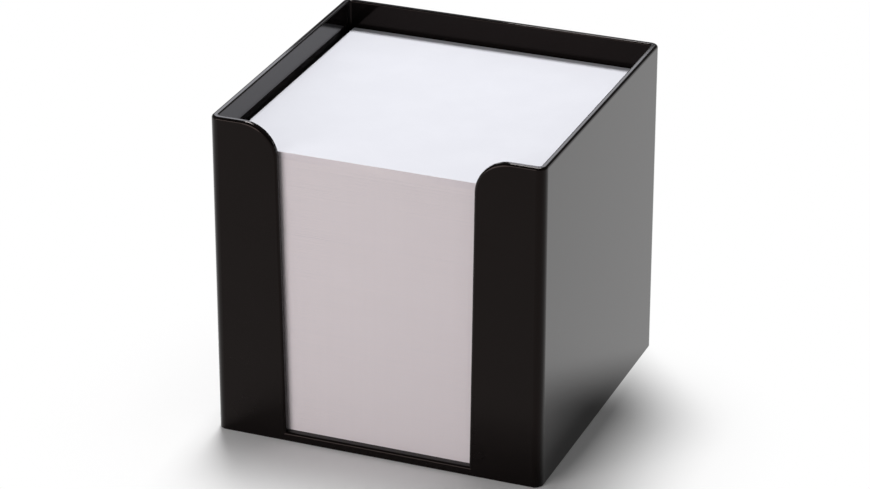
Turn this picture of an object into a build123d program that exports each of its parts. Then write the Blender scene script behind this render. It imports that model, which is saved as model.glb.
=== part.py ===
"""Desk memo box: a one-piece moulded holder, open at the top and slotted at the front,
filled with loose note sheets.

Millimetres. The origin is the middle of the underside, +X is to the right, +Y to the back
and +Z up; the slot faces -Y.
"""
import math
import os

from build123d import *

# Note sheets: square, loose, the uppermost each a piece of its own
sheet_width = 90.0
sheet_thickness = 0.1
loose_sheets = 20
sheet_skew_degrees = 0.15
skew_step = 2.4

# Where the paper lies: off the middle of the box, and below its rim
paper_shift = 0.4
paper_below_rim = 8.1

# Room between the paper and the walls, measured at the rim
side_clearance = 1.2
depth_clearance = 0.5

# Holder walls
holder_height = 94.7
wall_rim = 1.9
floor_thickness = 2.6
foot_inset = 0.1
room_taper = 0.15
corner_radius = 2.5
inner_corner_radius = 0.8

# Finger slot between the two front lips
slot_width_foot = 54.4
slot_width_rim = 56.9
lip_radius = 10.0

# Broken edges, and the standing ring of the underside
outer_round = 0.75
inner_round = 0.45
foot_round = 0.3
ring_width = 4.0
recess_depth = 0.5
recess_corner_radius = 2.0

# All cuts run past the faces that they open by this much
overrun = 1.0

# Sizes that follow from the above
inner_width = sheet_width + 2 * side_clearance
inner_depth = sheet_width + 2 * depth_clearance
holder_width = inner_width + 2 * wall_rim
holder_depth = inner_depth + 2 * wall_rim
foot_width = holder_width - 2 * foot_inset
foot_depth = holder_depth - 2 * foot_inset
floor_width = inner_width - 2 * room_taper
floor_depth = inner_depth - 2 * room_taper
wall_foot = (foot_width - floor_width) / 2
cavity_height = holder_height - floor_thickness
stack_height = cavity_height - paper_below_rim - loose_sheets * sheet_thickness
outer_draft = math.degrees(math.atan(foot_inset / holder_height))
inner_draft = math.degrees(math.atan(room_taper / cavity_height))

os.makedirs("parts", exist_ok=True)


def in_slot(edge):
    """An edge that runs along the finger slot, on either face of the front wall."""
    middle = edge.center()
    beside = abs(middle.X) < (slot_width_rim + lip_radius) / 2
    in_wall = middle.Y < -inner_depth / 2 + wall_foot
    above_floor = middle.Z > floor_thickness - inner_round / 2
    return beside and in_wall and above_floor and not across_wall(edge)


def across_wall(edge):
    """A straight seam that only crosses the front wall from face to face."""
    straight = edge.geom_type == GeomType.LINE
    return straight and wall_rim / 2 < abs((edge @ 1 - edge @ 0).Y) < 2 * wall_foot


def outside(edge):
    """An edge on the outer half of the walls."""
    middle = edge.center()
    return abs(middle.X) > (inner_width + wall_rim) / 2 or abs(middle.Y) > (inner_depth + wall_rim) / 2


def mouth_edges(body):
    """The edges of the rim, the lips and the slot, as the body now stands."""
    rim_edges = body.faces().sort_by(Axis.Z)[-1].edges().filter_by(across_wall, reverse=True)
    return rim_edges + body.edges().filter_by(in_slot)


with BuildPart() as holder:
    # The foot's outline drawn out to the rim with the mould's draft
    with BuildSketch():
        RectangleRounded(foot_width, foot_depth, corner_radius)
    extrude(amount=holder_height, taper=-outer_draft)
    foot_edges = holder.faces().sort_by(Axis.Z)[0].edges()
    fillet(foot_edges, foot_round)
    # The room for the paper, wider at the rim than on the floor
    with BuildSketch(Plane.XY.offset(floor_thickness)):
        RectangleRounded(floor_width, floor_depth, inner_corner_radius)
    extrude(amount=cavity_height + overrun, taper=-inner_draft, mode=Mode.SUBTRACT)
    # The finger slot, down to the floor
    with BuildSketch(Plane.XZ.offset(holder_depth / 2 + overrun)):
        with BuildLine():
            Polyline(
                (-slot_width_foot / 2, floor_thickness),
                (slot_width_foot / 2, floor_thickness),
                (slot_width_rim / 2, holder_height),
                (slot_width_rim / 2, holder_height + overrun),
                (-slot_width_rim / 2, holder_height + overrun),
                (-slot_width_rim / 2, holder_height),
                close=True,
            )
        make_face()
    extrude(amount=-(overrun + foot_inset + wall_foot + depth_clearance), mode=Mode.SUBTRACT)
    # The lips curve down from the rim into the slot
    lip_corners = holder.faces().sort_by(Axis.Z)[-1].edges().filter_by(across_wall)
    fillet(lip_corners, lip_radius)
    # The standing ring
    with BuildSketch():
        RectangleRounded(foot_width - 2 * ring_width, foot_depth - 2 * ring_width, recess_corner_radius)
    extrude(amount=recess_depth, mode=Mode.SUBTRACT)
    # The rim, the lips and the slot have broken edges all the way round, finer inside than outside
    fillet(mouth_edges(holder).filter_by(outside, reverse=True), inner_round)
    fillet(mouth_edges(holder).filter_by(outside), outer_round)
holder.part.label = "holder"
export_step(holder.part, "parts/holder.step")

with BuildPart() as paper_stack:
    with BuildSketch(Plane.XY.offset(floor_thickness)):
        with Locations((paper_shift, 0)):
            Rectangle(sheet_width, sheet_width)
    extrude(amount=stack_height)
paper_stack.part.label = "paper_stack"
export_step(paper_stack.part, "parts/paper_stack.step")

for place in range(loose_sheets):
    # Each loose sheet lies on the one below, turned a little as it fell
    lying_at = floor_thickness + stack_height + place * sheet_thickness
    turn = sheet_skew_degrees * math.sin(skew_step * (place + 1))
    with BuildPart() as note_sheet:
        with BuildSketch(Plane.XY.offset(lying_at)):
            with Locations((paper_shift, 0)):
                Rectangle(sheet_width, sheet_width, rotation=turn)
        extrude(amount=sheet_thickness)
    sheet_name = f"note_sheet_{place + 1:02d}"
    note_sheet.part.label = sheet_name
    export_step(note_sheet.part, f"parts/{sheet_name}.step")
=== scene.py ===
import math
import random

import bmesh
import bpy
from mathutils import Matrix, Vector


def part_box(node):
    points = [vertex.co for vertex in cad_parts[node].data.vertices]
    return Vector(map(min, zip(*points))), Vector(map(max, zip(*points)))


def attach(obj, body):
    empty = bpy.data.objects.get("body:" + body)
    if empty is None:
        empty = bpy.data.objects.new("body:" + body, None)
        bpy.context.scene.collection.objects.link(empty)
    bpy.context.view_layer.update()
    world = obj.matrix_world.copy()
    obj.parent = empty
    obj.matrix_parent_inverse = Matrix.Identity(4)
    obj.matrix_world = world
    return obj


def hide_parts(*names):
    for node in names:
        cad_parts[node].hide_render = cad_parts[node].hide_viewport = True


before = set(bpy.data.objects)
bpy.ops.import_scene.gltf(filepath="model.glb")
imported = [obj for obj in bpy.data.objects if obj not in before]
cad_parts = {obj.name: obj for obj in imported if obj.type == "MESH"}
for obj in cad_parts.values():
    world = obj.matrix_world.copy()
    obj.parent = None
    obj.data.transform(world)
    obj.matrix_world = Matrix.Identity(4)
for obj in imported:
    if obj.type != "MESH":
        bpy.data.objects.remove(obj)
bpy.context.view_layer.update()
scene = bpy.context.scene
looseSheets = sorted(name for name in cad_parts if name.startswith("note_sheet"))
print("frame loaded:", len(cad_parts), "nodes,", len(looseSheets), "loose sheets")


def newMaterial(name):
    material = bpy.data.materials.new(name)
    material.use_nodes = True
    material.node_tree.nodes.clear()
    return material, material.node_tree


def addNode(tree, kind, **settings):
    node = tree.nodes.new(kind)
    for name, value in settings.items():
        setattr(node, name, value)
    return node


def feed(tree, socket, value):              # links a socket, or sets the value by itself
    if isinstance(value, bpy.types.NodeSocket):
        tree.links.new(value, socket)
    else:
        socket.default_value = value


def calculate(tree, operation, *values):
    node = addNode(tree, "ShaderNodeMath", operation=operation)
    for socket, value in zip(node.inputs, values):
        feed(tree, socket, value)
    return node.outputs[0]


def calculateVector(tree, operation, first, second=None):
    node = addNode(tree, "ShaderNodeVectorMath", operation=operation)
    feed(tree, node.inputs[0], first)
    if second is not None:
        feed(tree, node.inputs[1], second)
    return node.outputs["Value" if operation == "LENGTH" else "Vector"]


def ramp(tree, value, fromLow, fromHigh, toLow, toHigh):
    node = addNode(tree, "ShaderNodeMapRange", interpolation_type="SMOOTHSTEP")
    for name, part in zip(("Value", "From Min", "From Max", "To Min", "To Max"),
                          (value, fromLow, fromHigh, toLow, toHigh)):
        feed(tree, node.inputs[name], part)
    return node.outputs["Result"]


def mixValue(tree, share, first, second):
    node = addNode(tree, "ShaderNodeMix", data_type="FLOAT")
    feed(tree, node.inputs[0], share)
    for socket, value in zip(node.inputs[2:4], (first, second)):    # the node's pair of numbers
        feed(tree, socket, value)
    return node.outputs[0]


def mixColour(tree, share, first, second):
    node = addNode(tree, "ShaderNodeMix", data_type="RGBA")
    feed(tree, node.inputs[0], share)
    for socket, value in zip(node.inputs[6:8], (first, second)):    # the node's pair of colours
        feed(tree, socket, value if isinstance(value, bpy.types.NodeSocket) else (*value, 1.0))
    return node.outputs[2]


def stretch(tree, vector, scale):
    node = addNode(tree, "ShaderNodeMapping")
    feed(tree, node.inputs["Vector"], vector)
    node.inputs["Scale"].default_value = scale
    return node.outputs["Vector"]


def grain(tree, vector, scale=1.0, detail=2.0, roughness=0.5):
    node = addNode(tree, "ShaderNodeTexNoise")
    feed(tree, node.inputs["Vector"], vector)
    node.inputs["Scale"].default_value = scale
    node.inputs["Detail"].default_value = detail
    node.inputs["Roughness"].default_value = roughness
    return node.outputs["Fac"]


def bump(tree, height, depth, below=None):
    node = addNode(tree, "ShaderNodeBump")
    node.inputs["Distance"].default_value = depth
    feed(tree, node.inputs["Height"], height)
    if below is not None:
        feed(tree, node.inputs["Normal"], below)
    return node.outputs["Normal"]


def showSurface(tree, shader):
    output = addNode(tree, "ShaderNodeOutputMaterial")
    feed(tree, output.inputs["Surface"], shader.outputs[0])


def addMesh(name, mesh):                    # a new object at the origin from a finished bmesh
    data = bpy.data.meshes.new(name)
    mesh.to_mesh(data)
    mesh.free()
    obj = bpy.data.objects.new(name, data)
    scene.collection.objects.link(obj)
    return obj


def dress(obj, material):
    obj.data.materials.clear()
    obj.data.materials.append(material)


holderLook = {
    "deepTone": (0.0034, 0.0026, 0.0025),   # carbon black, a little warm
    "paleTone": (0.0050, 0.0040, 0.0039),
    "refraction": 1.70,
    "facingShineWithPaintedShade": (0.113, 0.088, 0.081),   # real gloss, but its head-on mirroring is turned down and warmed: painted shade standing in for a darker floor mirrored in front
    "outerGloss": (0.05, 0.08),             # roughness, least and most
    "innerGloss": (0.025, 0.04),            # the room inside came off a polished core
    "wall": 0.0019,                         # metres
    "fadeShare": 0.25,                      # of the wall, each way, where outer finish turns into inner
    "clouds": {"scale": 60.0, "detail": 4.0, "roughness": 0.6},     # all scales are per metre
    "cloudSpan": (0.3, 0.7),
    "peel": {"scale": 650.0, "detail": 1.0},
    "peelDepth": 0.0000015,
    "hairs": {"scale": 420.0, "detail": 3.0},
    "hairStretch": (0.04, 0.04, 1.0),       # fine lines that lie level round the box
    "hairDepth": 0.000001,
}


def makeHolderPlastic(look):
    material, tree = newMaterial("blackGlossPlastic")
    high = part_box("holder")[1]
    coords = addNode(tree, "ShaderNodeTexCoord").outputs["Object"]
    axes = addNode(tree, "ShaderNodeSeparateXYZ")
    feed(tree, axes.inputs[0], coords)
    fade = look["wall"] * look["fadeShare"]
    halfWall = look["wall"] / 2
    inside = ramp(tree, axes.outputs["Z"], halfWall - fade, halfWall + fade, 0.0, 1.0)
    for axis, reach in (("X", high.x - halfWall), ("Y", high.y - halfWall)):    # to the middle of the walls
        across = calculate(tree, "ABSOLUTE", axes.outputs[axis])
        within = ramp(tree, across, reach - fade, reach + fade, 1.0, 0.0)
        inside = calculate(tree, "MULTIPLY", inside, within)

    clouds = grain(tree, coords, **look["clouds"])
    outerGloss = ramp(tree, clouds, *look["cloudSpan"], *look["outerGloss"])
    innerGloss = ramp(tree, clouds, *look["cloudSpan"], *look["innerGloss"])
    peel = grain(tree, coords, **look["peel"])
    hairs = grain(tree, stretch(tree, coords, look["hairStretch"]), **look["hairs"])
    surface = bump(tree, peel, look["peelDepth"])
    surface = bump(tree, hairs, look["hairDepth"], below=surface)

    shader = addNode(tree, "ShaderNodeBsdfPrincipled")
    feed(tree, shader.inputs["Base Color"], mixColour(tree, clouds, look["deepTone"], look["paleTone"]))
    feed(tree, shader.inputs["Roughness"], mixValue(tree, inside, outerGloss, innerGloss))
    shader.inputs["IOR"].default_value = look["refraction"]
    # the tint dims head-on reflections: painted shade for a darker floor mirrored in front of the box
    shader.inputs["Specular Tint"].default_value = (*look["facingShineWithPaintedShade"], 1.0)
    feed(tree, shader.inputs["Normal"], surface)
    showSurface(tree, shader)
    return material


paperLook = {
    "faceTone": (0.78, 0.787, 0.845),
    "faceShade": (0.76, 0.767, 0.825),
    "edgeTone": (0.820, 0.751, 0.770),
    "edgeShade": (0.808, 0.739, 0.758),
    "edgeTilt": (0.35, 0.75),               # how level a face is before it counts as a sheet's face
    "fibres": {"scale": 2600.0, "detail": 3.0, "roughness": 0.6},
    "fibreDepth": 0.000004,
    "clouds": {"scale": 90.0, "detail": 3.0},
    "fibreShare": 0.6,                      # weight of the fibres beside the clouds in a face's tone
    "faceSpan": (0.6, 1.1),
    "sheetStretch": (18.0, 18.0, 6500.0),   # tone changes from sheet to sheet, hardly along one
    "knifeStretch": (900.0, 900.0, 9.0),    # upright marks of the trimming knife
    "knifeShare": 0.5,                      # weight of those marks beside the sheets in an edge's tone
    "edgeSpan": (0.5, 1.0),
    "roughness": 0.72,
}


def makeNotePaper(look):
    material, tree = newMaterial("notePaper")
    texture = addNode(tree, "ShaderNodeTexCoord")
    coords = texture.outputs["Object"]
    axes = addNode(tree, "ShaderNodeSeparateXYZ")
    feed(tree, axes.inputs[0], texture.outputs["Normal"])
    level = ramp(tree, calculate(tree, "ABSOLUTE", axes.outputs["Z"]), *look["edgeTilt"], 0.0, 1.0)

    fibres = grain(tree, coords, **look["fibres"])
    clouds = grain(tree, coords, **look["clouds"])
    faceGrain = calculate(tree, "ADD", calculate(tree, "MULTIPLY", fibres, look["fibreShare"]), clouds)
    faceShare = ramp(tree, faceGrain, *look["faceSpan"], 0.0, 1.0)
    faceColour = mixColour(tree, faceShare, look["faceShade"], look["faceTone"])

    sheets = grain(tree, stretch(tree, coords, look["sheetStretch"]))
    knife = grain(tree, stretch(tree, coords, look["knifeStretch"]))
    edgeGrain = calculate(tree, "ADD", sheets, calculate(tree, "MULTIPLY", knife, look["knifeShare"]))
    edgeShare = ramp(tree, edgeGrain, *look["edgeSpan"], 0.0, 1.0)
    edgeColour = mixColour(tree, edgeShare, look["edgeShade"], look["edgeTone"])

    shader = addNode(tree, "ShaderNodeBsdfPrincipled")
    feed(tree, shader.inputs["Base Color"], mixColour(tree, level, edgeColour, faceColour))
    shader.inputs["Roughness"].default_value = look["roughness"]
    feed(tree, shader.inputs["Normal"], bump(tree, fibres, look["fibreDepth"]))
    showSurface(tree, shader)
    return material


blackPlastic = makeHolderPlastic(holderLook)
notePaper = makeNotePaper(paperLook)
dress(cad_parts["holder"], blackPlastic)
for name in looseSheets:
    dress(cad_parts[name], notePaper)
print("materials made, holder and loose sheets dressed")


paperBlock = {
    "sheetPitch": 0.0001,                   # metres from sheet to sheet
    "fullShare": 0.95,                      # how much of the pitch the sheet itself fills
    "packetSheets": 120,                    # sheets that were put in together
    "packetSlide": 0.00004,
    "sheetSlide": 0.00002,
    "sheetTurn": 0.02,                      # degrees
    "seed": 11,
}


def scatter(chance, reach):
    return Vector((chance.uniform(-1, 1), chance.uniform(-1, 1), 0)) * reach


def buildPaperBlock(settings):
    low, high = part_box("paper_stack")
    middle, size = (low + high) / 2, high - low
    count = round(size.z / settings["sheetPitch"])
    pitch = size.z / count
    shape = Matrix.Diagonal((size.x, size.y, pitch * settings["fullShare"], 1.0))
    chance = random.Random(settings["seed"])
    mesh = bmesh.new()
    for place in range(count):
        if place % settings["packetSheets"] == 0:
            packetSlide = scatter(chance, settings["packetSlide"])
        sheetSlide = scatter(chance, settings["sheetSlide"])
        turn = Matrix.Rotation(math.radians(chance.uniform(-1, 1) * settings["sheetTurn"]), 4, "Z")
        centre = Vector((middle.x, middle.y, low.z + (place + 0.5) * pitch)) + packetSlide + sheetSlide
        bmesh.ops.create_cube(mesh, size=1.0, matrix=Matrix.Translation(centre) @ turn @ shape)
    piece = addMesh("paper_block", mesh)
    dress(piece, notePaper)
    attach(piece, "paper_stack")
    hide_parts("paper_stack")
    print("paper block:", count, "sheets")


buildPaperBlock(paperBlock)


floorLook = {
    "radius": 7.0,
    "sides": 96,
    "tone": (0.96, 0.96, 0.96),
    "bounceTone": (0.35, 0.35, 0.35),       # throws less light up than it shows
    "shadowCentre": (0.0, -0.025, 0.0),     # an oblong under the box and in front of it
    "shadowHalf": (0.048, 0.015, 0.0),
    "shadowZone": (0.010, 0.060),           # metres from it: shaded floor nearer, plain white further
}


def whiteSeen(tree):                        # 1 for the eye and for mirrors, 0 for light that spreads
    path = addNode(tree, "ShaderNodeLightPath")
    seen = calculate(tree, "MAXIMUM", path.outputs["Is Camera Ray"], path.outputs["Is Glossy Ray"])
    return calculate(tree, "MAXIMUM", seen, path.outputs["Is Transmission Ray"])


def buildFloor(look):
    mesh = bmesh.new()
    bmesh.ops.create_circle(mesh, cap_ends=True, segments=look["sides"], radius=look["radius"])
    floor = addMesh("floor", mesh)
    material, tree = newMaterial("paleFloor")
    reach = addNode(tree, "ShaderNodeTexCoord").outputs["Object"]
    for operation, amount in (("SUBTRACT", look["shadowCentre"]), ("ABSOLUTE", None),
                              ("SUBTRACT", look["shadowHalf"]), ("MAXIMUM", (0.0, 0.0, 0.0))):
        reach = calculateVector(tree, operation, reach, amount)
    far = ramp(tree, calculateVector(tree, "LENGTH", reach), *look["shadowZone"], 0.0, 1.0)
    seen = whiteSeen(tree)
    shaded = addNode(tree, "ShaderNodeBsdfDiffuse")
    feed(tree, shaded.inputs["Color"], mixColour(tree, seen, look["bounceTone"], look["tone"]))
    white = addNode(tree, "ShaderNodeEmission")
    mix = addNode(tree, "ShaderNodeMixShader")
    feed(tree, mix.inputs[0], calculate(tree, "MULTIPLY", far, seen))
    feed(tree, mix.inputs[1], shaded.outputs[0])
    feed(tree, mix.inputs[2], white.outputs[0])
    showSurface(tree, mix)
    dress(floor, material)
    print("floor laid")


studio = {
    "ambient": 0.20,
    "white": (1.0, 1.0, 1.0, 1.0),
    "backdropTop": (0.14, 0.21),            # sine of the elevation where the white backdrop ends
    "ceiling": 0.10,                        # what shows above it
    "lamps": [
        {"name": "keyPanel", "place": (-0.186, 0.470, 1.145), "aim": (-0.186, 0.0, 0.05),
         "size": (0.40, 0.24), "power": 12.6, "colour": (1.0, 1.0, 1.0)},
        {"name": "rimPanel", "place": (-0.370, 0.930, 0.610), "aim": (0.0, 0.0, 0.095),
         "size": (0.34, 0.22), "power": 0.52, "colour": (0.92, 0.93, 1.0)},
        {"name": "frontPanel", "place": (-0.469, -1.006, 0.240), "aim": (0.0, 0.0, 0.045),
         "size": (0.8, 0.45), "power": 6.7, "colour": (1.0, 0.97, 0.97)},
    ],
}


def buildRoom(settings):
    world = bpy.data.worlds.new("studio")
    scene.world = world
    world.use_nodes = True
    tree = world.node_tree
    tree.nodes.clear()
    axes = addNode(tree, "ShaderNodeSeparateXYZ")
    feed(tree, axes.inputs[0], addNode(tree, "ShaderNodeTexCoord").outputs["Generated"])
    backdrop = ramp(tree, axes.outputs["Z"], *settings["backdropTop"], 1.0, settings["ceiling"])
    mix = addNode(tree, "ShaderNodeMixShader")
    feed(tree, mix.inputs[0], whiteSeen(tree))
    for socket, strength in zip(mix.inputs[1:], (settings["ambient"], backdrop)):
        light = addNode(tree, "ShaderNodeBackground")
        light.inputs["Color"].default_value = settings["white"]
        feed(tree, light.inputs["Strength"], strength)
        feed(tree, socket, light.outputs[0])
    output = addNode(tree, "ShaderNodeOutputWorld")
    feed(tree, output.inputs["Surface"], mix.outputs[0])
    print("room: white backdrop, dim ceiling")


def hangLamp(lamp):
    data = bpy.data.lights.new(lamp["name"], "AREA")
    data.shape = "RECTANGLE"
    data.size, data.size_y = lamp["size"]
    data.energy = lamp["power"]
    data.color = lamp["colour"]
    obj = bpy.data.objects.new(lamp["name"], data)
    scene.collection.objects.link(obj)
    obj.visible_camera = False
    obj.location = lamp["place"]
    direction = Vector(lamp["aim"]) - Vector(lamp["place"])
    obj.rotation_euler = direction.to_track_quat("-Z", "Y").to_euler()
    print("lamp:", lamp["name"])


buildFloor(floorLook)
buildRoom(studio)
for lamp in studio["lamps"]:
    hangLamp(lamp)


cameraLook = {
    "place": (0.33448, -0.84598, 0.47196),
    "yaw": 21.657,                          # degrees to the left
    "pitch": 25.179,                        # degrees down
    "roll": 0.003,                          # degrees clockwise
    "levelTilt": 90.0,                      # an unturned camera looks straight down
    "focalPixels": 3575.9,
    "imageWidth": 870,
    "sensorWidth": 36.0,                    # millimetres
}


def buildCamera(look):
    data = bpy.data.cameras.new("photoCamera")
    data.sensor_width = look["sensorWidth"]
    data.lens = look["focalPixels"] / look["imageWidth"] * look["sensorWidth"]
    camera = bpy.data.objects.new("photoCamera", data)
    scene.collection.objects.link(camera)
    turn = Matrix.Rotation(math.radians(look["yaw"]), 4, "Z")
    tilt = Matrix.Rotation(math.radians(look["levelTilt"] - look["pitch"]), 4, "X")
    roll = Matrix.Rotation(-math.radians(look["roll"]), 4, "Z")
    camera.matrix_world = Matrix.Translation(look["place"]) @ turn @ tilt @ roll
    scene.camera = camera
    print("camera: lens", round(data.lens, 1), "mm")


buildCamera(cameraLook)
scene.view_settings.view_transform = "Standard"
